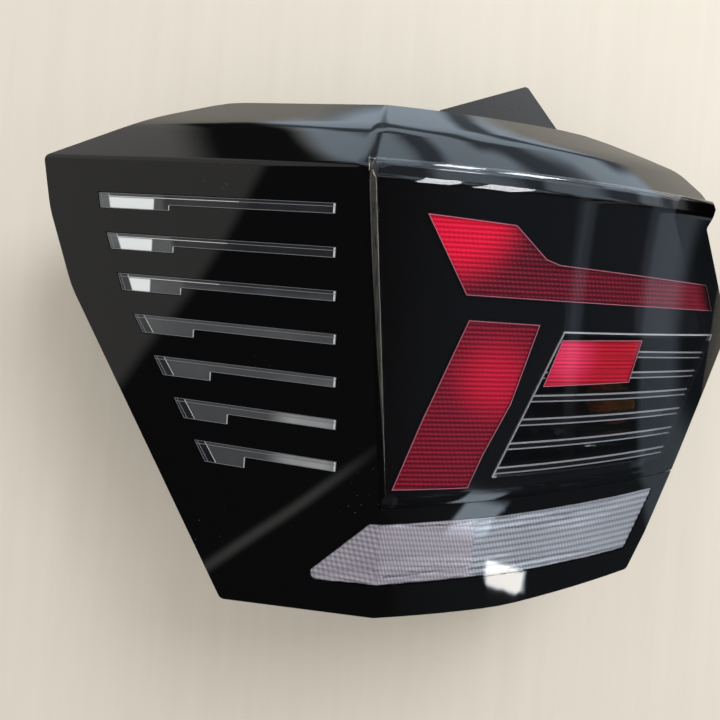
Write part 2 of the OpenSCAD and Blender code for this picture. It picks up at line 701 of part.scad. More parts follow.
// Housing: a flange that meets the cover, a deep bowl with a stiffened wall and stud bosses
housing_front = -cover_depth - fit_gap;
bowl_inset = 6;
flange_t = 4;
boss_wall = 3;
module housing() color([0.05, 0.05, 0.055]) from_face() difference() {
    union() {
        intersection() {
            difference() {
                form(housing_front);
                form(housing_front - flange_t);
            }
            through(OUTLINE, y1 = back_wall_y);
        }
        intersection() {
            form(housing_front - flange_t / 2);
            through(inset(OUTLINE, bowl_inset), y1 = back_wall_y);
        }
        for (p = STUDS) tube_y(p, collar_r + boss_wall, back_wall_y - 10, body_depth - collar_t);
        for (p = EARS) tube_y(p, ear_boss_r, back_wall_y - 10, carrier_y);
    }
    difference() {
        through(inset(OUTLINE, bowl_inset + housing_wall), y1 = back_wall_y - housing_wall);
        for (p = STUDS) tube_y(p, collar_r + boss_wall, back_wall_y - 12, body_depth);
        for (p = EARS) tube_y(p, ear_boss_r, back_wall_y - 12, body_depth);
    }
    for (p = STUDS) tube_y(p, stud_r + seat_gap, back_wall_y - 20, body_depth);
    for (p = EARS) tube_y(p, screw_r + seat_gap, back_wall_y - 20, body_depth);
    through(inset(CARRIER, 7), y0 = back_wall_y - 20);
}

// The tab behind the shoulder: an upright plate on a foot along the top of the bowl
BRACKET = [[32.5, crown_h - 21, 0.5], [107.8, crown_h - 21, 0.5], [107.8, crown_h + 3.2, 0.5],
    [87.2, crown_h + 27.1, 1.5], [85.2, crown_h + 27.9, 1.5], [32.5, crown_h + 9.5, 1]];
FOOT = [[34, crown_h - 31, 0], [106, crown_h - 31, 0], [106, crown_h + 19, 0], [34, crown_h + 19, 0]];
bracket_y = back_wall_y - 9;
module top_bracket() color([0.07, 0.07, 0.07]) from_face() difference() {
    union() {
        through(BRACKET, bracket_y, bracket_y + bracket_t);
        intersection() {
            through(FOOT, bracket_y - 3, back_wall_y - 2);
            through(inset(OUTLINE, bowl_inset - 2.5));
        }
    }
    through(inset(OUTLINE, bowl_inset - 0.1));
}

housing();
black_cover();
smoke_lens();
reverse_lens();
inner_bezel();
upper_red_lens();
lower_red_lens();
stop_lens();
louvre();
chrome_strips();
window_frame();
gill_blade(0);  // gill_blade_1
gill_blade(1);  // gill_blade_2
gill_blade(2);  // gill_blade_3
gill_blade(3);  // gill_blade_4
gill_blade(4);  // gill_blade_5
gill_blade(5);  // gill_blade_6
gill_blade(6);  // gill_blade_7
gill_carrier();
upper_reflector();
lower_reflector();
window_reflector();
reverse_reflector();
upper_tail_bulb();
lower_tail_bulb();
stop_bulb();
turn_bulb();
reverse_bulb();
bulb_carrier();
contact_strips();
connector_pins();
carrier_seal();
carrier_screws();
body_seal();
mounting_studs();
guide_pins();
vent_caps();
top_bracket();
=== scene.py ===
import math

import bmesh
import bpy
from mathutils import Matrix, Vector


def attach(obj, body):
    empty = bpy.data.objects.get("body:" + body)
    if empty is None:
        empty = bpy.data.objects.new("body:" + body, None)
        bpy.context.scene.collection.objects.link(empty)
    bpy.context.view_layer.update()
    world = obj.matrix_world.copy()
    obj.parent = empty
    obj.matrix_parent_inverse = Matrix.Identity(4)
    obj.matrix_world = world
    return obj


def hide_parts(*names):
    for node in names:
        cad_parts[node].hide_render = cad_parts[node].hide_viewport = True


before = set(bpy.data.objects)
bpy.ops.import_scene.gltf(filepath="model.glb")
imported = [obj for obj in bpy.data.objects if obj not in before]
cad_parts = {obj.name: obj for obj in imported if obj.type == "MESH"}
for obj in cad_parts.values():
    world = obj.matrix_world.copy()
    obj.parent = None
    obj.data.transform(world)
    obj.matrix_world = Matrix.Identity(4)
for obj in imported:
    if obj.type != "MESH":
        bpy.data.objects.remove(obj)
bpy.context.scene.view_settings.view_transform = "Standard"
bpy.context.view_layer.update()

MM = 0.001
# The part's own sizes, in millimetres, in its face frame: x from the ridge, height from the face line.
# That frame lies a body's depth in front of the main stud and 20 mm below it.
BODY_DEPTH, STUD_HEIGHT = 128.0, 20.0
GILL_TURN = math.radians(17.35)
RIDGE_R, FACE_R, FACE_TURN = 62.0, 400.0, math.radians(4)
LENS_TOP = 101.5
LENS_PROUD, PANEL_PROUD, STOP_PROUD, BLADE_RECESS = 7.5, 2.0, 1.0, 0.8
SLOT_TOP, SLOT_PITCH, SLOT_MARGIN, SLOT_COUNT = 78.2, 22.2, 33.0, 7
SLOT_THIN, SLOT_TALL, SLOT_GROWTH, SLOT_BLOCK, BLOCK_STEP = 5.6, 8.6, 0.5, 44.5, 2.3
SLOT_END, END_STEP = -23.4, 1.7
# The outline's left edge as three lines: a point on each and its slope
LEFT_SLOPES = ((-175.5, 24.0, -0.6138), (-175.5, 24.0, -0.3636), (-191.5, 68.0, -0.1695))
RIB_PITCH = 2.45 * MM
PILLOW_END, FLUTE_END, FLUTE_SLANT, STEP_SLOPE = 12.0, 62.0, 0.3, 0.13
PILLOW_PITCH, FLUTE_PITCH, STEP_PITCH = 2.8, 1.8, 3.3
UPPER_RED = ((46.6, 36.7), (202.6, 38.2), (195, 53.3), (96, 56.2), (88, 58.6), (69.8, 74.4),
             (23.1, 76.1))
LOWER_RED = ((16.6, -67.3), (57, -64.6), (63.7, -46.4), (76.3, -18.8), (88.2, 24.2), (49.2, 24.1),
             (39.5, -1.8), (28.9, -30.7))
STOP = ((93.7, -8.9), (146.8, -5.1), (152.6, 19), (102.2, 16.8))
REVERSE = ((-29, -121.8), (95, -108), (153.5, -100), (169, -65.3), (75, -78), (6.5, -84.8))


# Shader helpers
class Value:
    """A node's output socket. An expression on values adds its Math nodes."""

    def __init__(self, shader, socket):
        self.shader, self.socket = shader, socket

    def math(self, operation, first, second=0.0):
        return self.shader.add("ShaderNodeMath", {"operation": operation}, {0: first, 1: second})

    def __add__(self, other):
        return self.math("ADD", self, other)

    def __radd__(self, other):
        return self.math("ADD", other, self)

    def __sub__(self, other):
        return self.math("SUBTRACT", self, other)

    def __rsub__(self, other):
        return self.math("SUBTRACT", other, self)

    def __mul__(self, other):
        return self.math("MULTIPLY", self, other)

    def __rmul__(self, other):
        return self.math("MULTIPLY", other, self)

    def __pow__(self, other):
        return self.math("POWER", self, other)

    def fold(self, pitch):
        """A triangle wave from 0 to 1 with this pitch"""
        return self.math("PINGPONG", self, pitch / 2) * (2 / pitch)

    def wrap(self, pitch):
        return self.math("FLOORED_MODULO", self, pitch)

    def least(self, other):
        return self.math("MINIMUM", self, other)

    def most(self, other):
        return self.math("MAXIMUM", self, other)

    def between(self, low, high, soft=0.0004):
        """1 where the value lies from low to high, with soft ends"""
        return self.step(low, soft) * (1 - self.step(high, soft))

    def step(self, edge, soft=0.0004):
        """0 below the edge and 1 above it"""
        return self.ramp(edge - soft, edge + soft)

    def ramp(self, start, end, low=0.0, high=1.0):
        """Rises smoothly from low at the start to high at the end"""
        ends = {0: self, 1: start, 2: end, 3: low, 4: high}
        return self.shader.add("ShaderNodeMapRange", {"interpolation_type": "SMOOTHSTEP"}, ends)


class Shader:
    """A material's or the world's node tree"""

    def __init__(self, owner):
        owner.use_nodes = True
        self.owner, self.tree = owner, owner.node_tree
        self.tree.nodes.clear()

    def add(self, kind, settings=None, inputs=None, out=0):
        """Adds a node: its settings first, then its sockets' values or links. Returns one output."""
        node = self.tree.nodes.new(kind)
        for name, value in (settings or {}).items():
            setattr(node, name, value)
        for name, value in (inputs or {}).items():
            if isinstance(value, Value):
                self.tree.links.new(value.socket, node.inputs[name])
            else:
                node.inputs[name].default_value = value
        return Value(self, node.outputs[out]) if node.outputs else None

    def place(self):
        """Object coordinates, in metres from the main stud, as three values"""
        where = self.add("ShaderNodeTexCoord", out="Object")
        return where, [self.add("ShaderNodeSeparateXYZ", inputs={0: where}, out=i) for i in range(3)]

    def noise(self, where, scale, detail=2.0, roughness=0.5):
        inputs = {"Vector": where, "Scale": scale, "Detail": detail, "Roughness": roughness}
        return self.add("ShaderNodeTexNoise", inputs=inputs)

    def tint(self, amount, low, high):
        """A colour from low to high"""
        settings = {"data_type": "RGBA"}
        return self.add("ShaderNodeMix", settings, {0: amount, 6: (*low, 1.0), 7: (*high, 1.0)}, out=2)

    def over(self, amount, below, above):
        """Two colour values mixed"""
        return self.add("ShaderNodeMix", {"data_type": "RGBA"}, {0: amount, 6: below, 7: above}, out=2)

    def bump(self, height, distance):
        inputs = {"Height": height, "Distance": distance, "Strength": 1.0}
        return self.add("ShaderNodeBump", inputs=inputs)

    def outer_shine(self):
        """How much a wall's outer side reflects. Its inner side reflects nothing, since the light goes
        through it unbent."""
        inner = self.add("ShaderNodeNewGeometry", out="Backfacing")
        return self.add("ShaderNodeFresnel", inputs={"IOR": 1.49}) * (1 - inner)

    def surface(self, shader):
        self.add("ShaderNodeOutputMaterial", inputs={"Surface": shader})
        return self.owner


def finish(name):
    return Shader(bpy.data.materials.new(name))


def dust(s, where, share=0.35):
    """Fine specks of dust, 0 nearly everywhere"""
    spots = {"Vector": where, "Scale": 300.0, "Randomness": 1.0}
    cells = s.add("ShaderNodeTexVoronoi", {"feature": "F1"}, spots, out="Distance")
    patch = s.noise(where, 18.0, 3.0)
    return (1 - cells.step(0.07, 0.05)) * patch.step(0.66 - share * 0.05, 0.05) * 0.5


# Finishes
def gloss_black(name, colour, roughness, speckle=1.0):
    s = finish(name)
    where, _ = s.place()
    specks = dust(s, where) * speckle
    haze = s.noise(where, 9.0, 4.0, 0.6)
    shell = s.add("ShaderNodeBsdfPrincipled", inputs={
        "Base Color": s.tint(specks * 0.5, colour, (0.30, 0.29, 0.28)),
        "Roughness": roughness + haze * 0.03 + specks * 0.3,
        "IOR": 1.5})
    return s.surface(shell)


def matte_black(name, colour, roughness=0.55):
    s = finish(name)
    where, _ = s.place()
    fine = s.noise(where, 900.0, 3.0)
    broad = s.noise(where, 22.0, 3.0)
    shell = s.add("ShaderNodeBsdfPrincipled", inputs={
        "Base Color": s.tint(broad, colour, tuple(1.5 * c for c in colour)),
        "Roughness": roughness - 0.1 + broad * 0.2,
        "Normal": s.bump(fine, 0.06 * MM)})
    return s.surface(shell)


def clear_wall(s, where, colour, roughness, dusty=0.35):
    """A polished transparent wall: light goes straight through its colour and its gloss reflects"""
    specks = dust(s, where, dusty)
    clear = s.add("ShaderNodeBsdfTransparent", inputs={"Color": colour})
    gloss = s.add("ShaderNodeBsdfPrincipled", inputs={
        "Base Color": s.tint(specks, (1.0, 1.0, 1.0), (0.35, 0.34, 0.33)),
        "Metallic": 1 - specks,
        "Roughness": roughness + s.noise(where, 7.0, 3.0) * 0.02})
    shine = (s.outer_shine() + specks * 0.12).least(1.0)
    return s.surface(s.add("ShaderNodeMixShader", inputs={0: shine, 1: clear, 2: gloss}))


def clear_shell(name, tint, roughness, dusty):
    s = finish(name)
    where, _ = s.place()
    return clear_wall(s, where, (*tint, 1.0), roughness, dusty)


def smoke_acrylic():
    """The smoke lens, clear but for a black band along its inner end"""
    s = finish("smoke_acrylic")
    where, (x, y, z) = s.place()
    high = z * 1000 + STUD_HEIGHT
    corner_x, corner_z, upper_slope, lower_slope, border = 215, 27, 0.513, 0.403, 6.0
    end = (corner_x - (high - corner_z) * upper_slope).least(corner_x - (corner_z - high) * lower_slope)
    black_band = (x * 1000 - end).step(-border, 0.3)
    return clear_wall(s, where, s.tint(black_band, (0.91, 0.91, 0.92), (0.0, 0.0, 0.0)), 0.02)


def red_optics(name, bright, painted_shade_red, spot, near, reach, dotted=0.8):
    """Ribbed red acrylic with painted light: brightest where the light reaches its reflector, near a
    spot given in millimetres of the face, and painted shade beyond the reach. The rib crests and dots
    carry painted highlights and the furrows painted shade"""
    s = finish(name)
    where, (x, y, z) = s.place()
    across, rise = x * 1000 - spot[0], z * 1000 + STUD_HEIGHT - spot[1]
    away = (across * across + rise * rise) ** 0.5
    shade = away.ramp(near, reach)
    cloud = s.noise(where, 26.0, 2.0)
    cell = (x + z * 0.25).fold(RIB_PITCH)
    rib = (z - x * 0.03).fold(RIB_PITCH) * (1 - (1 - cell) * (dotted * 0.5))
    dots = (rib * cell).step(0.60, 0.25)
    plain = x.step(0.170, 0.025)
    # painted light: lit red near the spot, falling to painted shade beyond the reach
    painted_light_tone = s.tint((shade + cloud * 0.3 - 0.15).most(0.0).least(1.0), bright, painted_shade_red)
    # painted shade in the furrows between the ribs
    painted_furrow_shade = s.tint(shade, tuple(0.6 * c for c in bright), tuple(0.35 * c for c in painted_shade_red))
    # painted highlights on the rib crests and dots
    lit_crest, dark_crest = [tuple(min(1.0, gain * c + 0.01) for c in colour)
                             for gain, colour in ((1.15, bright), (2.4, painted_shade_red))]
    crest = s.tint(shade, lit_crest, dark_crest)
    brownish = s.tint(rib, (0.20, 0.016, 0.030), (0.25, 0.020, 0.038))
    ribbed = s.over(dots * dotted, s.over((1 - rib) * 0.8, painted_light_tone, painted_furrow_shade), crest)
    shell = s.add("ShaderNodeBsdfPrincipled", inputs={
        "Base Color": s.over(plain * 0.75, ribbed, brownish),
        "Roughness": 0.5 + cloud * 0.1,
        "IOR": 1.3})
    return s.surface(shell)


def reversing_optics():
    """The optics of the reversing lens, with the light of the bright reflector behind them painted into
    their
    colour: painted highlights on the crests, painted shade in the grooves
    """
    s = finish("reversing_optics")
    where, (x, y, z) = s.place()
    across, high = x * 1000, z * 1000 + STUD_HEIGHT
    slanted = (across + high * FLUTE_SLANT).fold(FLUTE_PITCH)
    pillows = (across + high * FLUTE_SLANT).fold(PILLOW_PITCH) * 0.5 + high.fold(PILLOW_PITCH) * 0.5
    flutes = slanted * 0.7 + high.fold(PILLOW_PITCH) * 0.3
    steps = (high - across * STEP_SLOPE).fold(STEP_PITCH) * 0.65 + slanted * 0.35
    left, right = 1 - across.step(PILLOW_END, 1.0), across.step(FLUTE_END, 1.0)
    crest = pillows * left + steps * right + flutes * (1 - left) * (1 - right)
    cloud = s.noise(where, 24.0, 3.0)
    grain = s.noise(where, 420.0, 2.0)
    # painted highlights on the crests and painted shade in the grooves; cloud and grain are random tone
    level = crest * 0.55 + cloud * 0.3 + grain * 0.15
    shell = s.add("ShaderNodeBsdfPrincipled", inputs={
        "Base Color": s.over(right * 0.7, s.tint(level, (0.10, 0.09, 0.115), (0.56, 0.53, 0.60)),
                             s.tint(level, (0.05, 0.065, 0.085), (0.46, 0.52, 0.58))),
        "Metallic": 0.35, "Roughness": 0.35 + grain * 0.1})
    return s.surface(shell)


def guide_acrylic():
    """The clear blades of the light slots, coloured with painted reflections: a dark cell at the left
    end, a block behind it with a painted white reflection on the upper slots, and a bar that runs to the
    right end, where the streaky grey painted reflection is dimmed on the upper slots"""
    s = finish("guide_acrylic")
    where, (x, y, z) = s.place()
    high = z * 1000 + STUD_HEIGHT
    drop = (SLOT_TOP - high).wrap(SLOT_PITCH)
    ends = [corner_x + (high - corner_z) * slope for corner_x, corner_z, slope in LEFT_SLOPES]
    along = x * 1000 - (ends[0].most(ends[1]).most(ends[2]) + SLOT_MARGIN)
    streak = s.noise(where, 40.0, 2.0)
    cell = 1 - along.step(6.3, 0.3)
    height = high.ramp(-70.0, 40.0, 0.35)
    # painted reflection: the white block on the upper slots
    lit = (1 - (x * 1000).step(-125.5, 0.5)) * (1 - cell) * high.step(22.0, 2.0) * drop.step(2.3, 0.3)
    # lighter towards the right end of the lower slots
    far_end = (x * 1000).between(-45.0, -12.0, 9.0) * (1 - high.step(-25.0, 18.0))
    bar = along.step(SLOT_BLOCK - 5.0, 2.0) * high.step(30.0, 6.0)
    upper = high.step(45.0, 12.0)
    # streaky grey painted reflection, stronger towards the top; the cell a little lighter on the upper
    # slots and darker on the lower ones
    body = 0.035 + streak * 0.05 * height + cell * 0.03 * upper - cell * 0.035 * (1 - upper)
    body = body * (1 - bar * 0.75)
    level = (body + far_end * (0.07 + streak * 0.2) + lit * 0.55).most(0.004).least(1.0)
    shell = s.add("ShaderNodeBsdfPrincipled", inputs={
        "Base Color": s.tint(level, (0.0, 0.0, 0.002), (0.93, 0.97, 1.0)),
        "Roughness": 0.06 + streak * 0.05, "IOR": 1.49})
    return s.surface(shell)


def bright_metal(name, colour, roughness, metal=0.95):
    s = finish(name)
    where, _ = s.place()
    wave = s.noise(where, 120.0, 2.0)
    shell = s.add("ShaderNodeBsdfPrincipled", inputs={
        "Base Color": s.tint(wave, tuple(0.85 * c for c in colour), colour),
        "Metallic": metal + wave * 0.05,
        "Roughness": roughness + wave * 0.08})
    return s.surface(shell)


def frame_with_painted_highlight():
    """The window's frame: a painted highlight along its top and outer edges, painted shade where it
    turns from the light
    """
    s = finish("frame_with_painted_highlight")
    where, (x, y, z) = s.place()
    high = z * 1000 + STUD_HEIGHT
    foot_x, foot_z, lean, trim_width = 70, -59, 0.41, 2.2
    outer = 1 - (x * 1000 - (foot_x + (high - foot_z) * lean)).step(trim_width, 0.3)
    # painted highlight along the top and the outer edge; painted shade elsewhere
    lit = high.step(20.5, 0.4).most(outer * 0.55)
    wave = s.noise(where, 60.0, 2.0)
    shell = s.add("ShaderNodeBsdfPrincipled", inputs={
        "Base Color": s.tint(lit * (0.7 + wave * 0.5), (0.012, 0.012, 0.014), (0.62, 0.63, 0.66)),
        "Metallic": 0.3, "Roughness": 0.25})
    return s.surface(shell)


def clear_glass(name, colour):
    s = finish(name)
    where, _ = s.place()
    wave = s.noise(where, 60.0, 2.0)
    clear = s.add("ShaderNodeBsdfTransparent", inputs={"Color": (*colour, 1.0)})
    gloss = s.add("ShaderNodeBsdfPrincipled", inputs={
        "Base Color": s.tint(wave, tuple(0.5 * c for c in colour), colour),
        "Roughness": 0.03 + wave * 0.02})
    shine = s.outer_shine() + 0.12
    return s.surface(s.add("ShaderNodeMixShader", inputs={0: shine, 1: clear, 2: gloss}))


def rubber(name, colour):
    s = finish(name)
    where, _ = s.place()
    cells = s.noise(where, 1400.0, 2.0)
    shell = s.add("ShaderNodeBsdfPrincipled", inputs={
        "Base Color": s.tint(cells, colour, tuple(1.7 * c for c in colour)),
        "Roughness": 0.75 + cells * 0.15, "Normal": s.bump(cells, 0.0001)})
    return s.surface(shell)


FINISHES = {
    "gloss_black": gloss_black("gloss_black", (0.0022, 0.0022, 0.0026), 0.012),
    "bezel_black": gloss_black("bezel_black", (0.003, 0.003, 0.0035), 0.03, 0.4),
    "louvre_black": gloss_black("louvre_black", (0.006, 0.006, 0.007), 0.08, 0.0),
    "inner_black": matte_black("inner_black", (0.006, 0.006, 0.0065), 0.45),
    "housing_black": matte_black("housing_black", (0.027, 0.027, 0.028)),
    "bracket_black": matte_black("bracket_black", (0.016, 0.016, 0.017), 0.5),
    "carrier_black": matte_black("carrier_black", (0.030, 0.030, 0.032), 0.6),
    "smoke_acrylic": smoke_acrylic(),
    "red_shell": clear_shell("red_shell", (0.97, 0.62, 0.72), 0.04, 0.0),
    "reversing_shell": clear_shell("reversing_shell", (0.97, 0.97, 0.98), 0.02, 0.2),
    # red optics with painted light: a lit red near the spot and a painted shade red beyond the reach
    "red_upper": red_optics("red_upper", (0.95, 0.008, 0.085), (0.17, 0.01, 0.03), (36, 80), 20.0, 46.0),
    "red_lower": red_optics("red_lower", (0.62, 0.01, 0.065), (0.24, 0.01, 0.038), (66, -6),
                            4.0, 30.0, 0.4),
    "red_stop": red_optics("red_stop", (0.92, 0.10, 0.24), (0.62, 0.01, 0.045), (106, 9),
                           3.0, 24.0, 0.0),
    "reversing_optics": reversing_optics(),
    "guide_acrylic": guide_acrylic(),
    "bright_trim": bright_metal("bright_trim", (0.42, 0.43, 0.46), 0.25, 0.35),
    # window frame with a painted highlight and painted shade
    "frame_with_painted_highlight": frame_with_painted_highlight(),
    # painted highlights: the pale bars on the blades' edges and on the red panels' edges
    "painted_bright_highlight": bright_metal("painted_bright_highlight", (0.50, 0.51, 0.54), 0.3, 0.1),
    "painted_dim_highlight": bright_metal("painted_dim_highlight", (0.16, 0.17, 0.19), 0.3, 0.1),
    "painted_red_highlight": bright_metal("painted_red_highlight", (0.50, 0.15, 0.21), 0.3, 0.0),
    "reflector_metal": bright_metal("reflector_metal", (0.66, 0.66, 0.68), 0.2),
    "zinc_steel": bright_metal("zinc_steel", (0.52, 0.52, 0.53), 0.32),
    "contact_brass": bright_metal("contact_brass", (0.66, 0.48, 0.20), 0.28),
    "bulb_glass": clear_glass("bulb_glass", (0.92, 0.92, 0.90)),
    "amber_glass": clear_glass("amber_glass", (0.95, 0.45, 0.08)),
    "seal_rubber": rubber("seal_rubber", (0.016, 0.016, 0.016)),
}
NODE_FINISH = {
    "housing": "housing_black", "black_cover": "gloss_black", "smoke_lens": "smoke_acrylic",
    "reverse_lens": "reversing_shell", "inner_bezel": "bezel_black", "upper_red_lens": "red_shell",
    "lower_red_lens": "red_shell", "stop_lens": "red_shell", "louvre": "louvre_black",
    "chrome_strips": "bright_trim", "window_frame": "frame_with_painted_highlight", "gill_carrier": "inner_black",
    "upper_reflector": "reflector_metal", "lower_reflector": "reflector_metal",
    "window_reflector": "louvre_black", "reverse_reflector": "reflector_metal",
    "upper_tail_bulb": "bulb_glass", "lower_tail_bulb": "bulb_glass", "stop_bulb": "bulb_glass",
    "turn_bulb": "amber_glass", "reverse_bulb": "bulb_glass", "bulb_carrier": "carrier_black",
    "contact_strips": "contact_brass", "connector_pins": "contact_brass", "carrier_seal": "seal_rubber",
    "carrier_screws": "zinc_steel", "body_seal": "seal_rubber", "mounting_studs": "zinc_steel",
    "guide_pins": "housing_black", "vent_caps": "seal_rubber", "top_bracket": "bracket_black",
}
NODE_FINISH.update({"gill_blade_%d" % i: "guide_acrylic" for i in range(1, 8)})


# Pieces
def dress(obj, key):
    obj.data.materials.clear()
    obj.data.materials.append(FINISHES[key])


def smooth_skin(node, sharp=28.0):
    """A copy of a node with its vertices joined, so that gloss runs on over faces that meet smoothly"""
    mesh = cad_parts[node].data.copy()
    skin = bpy.data.objects.new(node + "_skin", mesh)
    bpy.context.scene.collection.objects.link(skin)
    work = bmesh.new()
    work.from_mesh(mesh)
    bmesh.ops.remove_doubles(work, verts=work.verts, dist=2e-6)
    bmesh.ops.dissolve_degenerate(work, dist=1e-7, edges=work.edges)
    for face in work.faces:
        face.smooth = True
    for edge in work.edges:
        edge.smooth = edge.is_manifold and edge.calc_face_angle(math.pi) < math.radians(sharp)
    work.to_mesh(mesh)
    work.free()
    if "custom_normal" in mesh.attributes:
        mesh.attributes.remove(mesh.attributes["custom_normal"])
    weighted = skin.modifiers.new("face weights", "WEIGHTED_NORMAL")
    weighted.mode, weighted.weight, weighted.keep_sharp = "FACE_AREA", 50, True
    dress(skin, NODE_FINISH[node])
    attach(skin, "root")
    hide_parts(node)


for name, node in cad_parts.items():
    dress(node, NODE_FINISH[name])

smooth_skin("black_cover")
smooth_skin("reverse_lens")
smooth_skin("inner_bezel")
smooth_skin("upper_red_lens")
smooth_skin("lower_red_lens")
smooth_skin("stop_lens")
smooth_skin("housing")


def curved_face(out):
    """The face right of the ridge: gives the point at x and height, moved out by this much"""
    centre_x = -(FACE_R - RIDGE_R) * math.sin(FACE_TURN)
    centre_y = RIDGE_R + (FACE_R - RIDGE_R) * math.cos(FACE_TURN)

    def depth(x, z):
        return centre_y - math.sqrt((FACE_R + out) ** 2 - (x - centre_x) ** 2)
    return depth


def slotted_face(out):
    """The plane left of the ridge, moved out by this much"""
    foot_x, foot_y = -RIDGE_R * math.sin(GILL_TURN), RIDGE_R - RIDGE_R * math.cos(GILL_TURN)

    def depth(x, z):
        return foot_y - (out + math.sin(GILL_TURN) * (x - foot_x)) / math.cos(GILL_TURN)
    return depth


def belly_face(out):
    """The lower body: the slotted plane and the raised face, whichever lies further back"""
    plane, cylinder = slotted_face(out), curved_face(LENS_PROUD + out)
    return lambda x, z: max(plane(x, z), cylinder(x, z))


def at(x, y, z):
    """A point of the face frame, in metres from the main stud"""
    return Vector((x, y - BODY_DEPTH, z - STUD_HEIGHT)) * MM


def inward(points, width):
    """An anticlockwise outline moved inward"""
    moved = []
    for i, q in enumerate(points):
        p, r = Vector(points[i - 1]), Vector(points[(i + 1) % len(points)])
        q = Vector(q)
        e, f = (q - p).normalized(), (r - q).normalized()
        a, b = Vector((-e.y, e.x)), Vector((-f.y, f.x))
        moved.append(tuple(q + width * (a + b) / (1 + a.dot(b))))
    return moved


def new_piece(name, mesh, key, smooth=False):
    """Puts a bmesh in the scene as a piece that rides on the lamp's body"""
    bmesh.ops.recalc_face_normals(mesh, faces=mesh.faces)
    for face in mesh.faces:
        face.smooth = smooth
    data = bpy.data.meshes.new(name)
    mesh.to_mesh(data)
    mesh.free()
    obj = bpy.data.objects.new(name, data)
    bpy.context.scene.collection.objects.link(obj)
    dress(obj, key)
    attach(obj, "root")
    return obj


def add_ribbon(mesh, left, right, low, high, closed, pace=5.0):
    """A thin bar between two paths of the same number of points, from one face depth to another"""
    turns = len(left) if closed else len(left) - 1
    rails = []
    for i in range(turns):
        j = (i + 1) % len(left)
        span = (Vector(left[j]) - Vector(left[i])).length
        steps = max(1, math.ceil(span / pace))
        for k in range(steps + (0 if closed or i < turns - 1 else 1)):
            share = k / steps
            rails.append([Vector(side[i]).lerp(Vector(side[j]), share) for side in (left, right)])
    rings = []
    for one, two in rails:
        corners = ((one, low), (one, high), (two, high), (two, low))
        rings.append([mesh.verts.new(at(p.x, depth(p.x, p.y), p.y)) for p, depth in corners])
    for i in range(len(rings) if closed else len(rings) - 1):
        one, two = rings[i], rings[(i + 1) % len(rings)]
        for k in range(4):
            mesh.faces.new((one[k], one[(k + 1) % 4], two[(k + 1) % 4], two[k]))
    if not closed:
        mesh.faces.new(rings[0])
        mesh.faces.new(list(reversed(rings[-1])))


def add_rim(mesh, outline, width, low, high):
    add_ribbon(mesh, [tuple(p) for p in outline], inward(outline, width), low, high, True)


def add_line(mesh, start, end, width, low, high):
    """A straight bar of this width, on the left of the way from start to end"""
    run = (Vector(end) - Vector(start)).normalized()
    side = Vector((-run.y, run.x)) * width
    shifted = [tuple(Vector(p) + side) for p in (start, end)]
    add_ribbon(mesh, [start, end], shifted, low, high, False)


def span_at(outline, z):
    """Where a level line enters and leaves an outline"""
    hits = []
    for i, (x1, z1) in enumerate(outline):
        x0, z0 = outline[i - 1]
        if min(z0, z1) <= z <= max(z0, z1) and z0 != z1:
            hits.append(x0 + (x1 - x0) * (z - z0) / (z1 - z0))
    return min(hits), max(hits)


def optics_sheet(name, outline, surface, relief, rows, columns, key):
    """A sheet of moulded optics inside a lens: relief gives its height at x and z, in millimetres"""
    low, high = min(z for _, z in outline) + 0.02, max(z for _, z in outline) - 0.02
    mesh = bmesh.new()
    grid = []
    for i in range(rows + 1):
        z = low + (high - low) * i / rows
        left, right = span_at(outline, z)
        level = []
        for j in range(columns + 1):
            x = left + (right - left) * j / columns
            level.append(mesh.verts.new(at(x, surface(x, z) - relief(x, z), z)))
        grid.append(level)
    for i in range(rows):
        for j in range(columns):
            mesh.faces.new((grid[i][j], grid[i][j + 1], grid[i + 1][j + 1], grid[i + 1][j]))
    sheet = new_piece(name, mesh, key, smooth=True)
    wall = sheet.modifiers.new("wall", "SOLIDIFY")
    wall.thickness, wall.offset = 0.5 * MM, -1.0


def zigzag(value, pitch):
    part = value / pitch % 1.0
    return 1 - abs(2 * part - 1)


def red_relief(depth, pitch):
    def relief(x, z):
        return depth * zigzag(z - 0.03 * x, pitch) + 0.15 * zigzag(x, pitch)
    return relief


def reversing_relief(x, z):
    """Pillows at the left, fine flutes in the middle and steps along the slope at the right"""
    slanted = x + FLUTE_SLANT * z
    if x < PILLOW_END:
        return 0.8 * zigzag(slanted, PILLOW_PITCH) * zigzag(z, PILLOW_PITCH)
    if x < FLUTE_END:
        return 0.35 * zigzag(slanted, FLUTE_PITCH) + 0.25 * zigzag(z, PILLOW_PITCH)
    return 0.55 * zigzag(z - STEP_SLOPE * x, STEP_PITCH) + 0.2 * zigzag(slanted, FLUTE_PITCH)


behind_panel, panel_relief = curved_face(PANEL_PROUD - 1.4), red_relief(0.55, 2.45)
optics_sheet("upper_red_optics", inward(UPPER_RED, 0.5), behind_panel, panel_relief,
             98, 130, "red_upper")
optics_sheet("lower_red_optics", inward(LOWER_RED, 0.5), behind_panel, panel_relief,
             224, 40, "red_lower")
optics_sheet("stop_optics", inward(STOP, 0.4), curved_face(STOP_PROUD - 1.2), red_relief(0.5, 1.9),
             90, 44, "red_stop")
optics_sheet("reversing_optics", inward(REVERSE, 0.4), belly_face(-1.6), reversing_relief,
             110, 340, "reversing_optics")


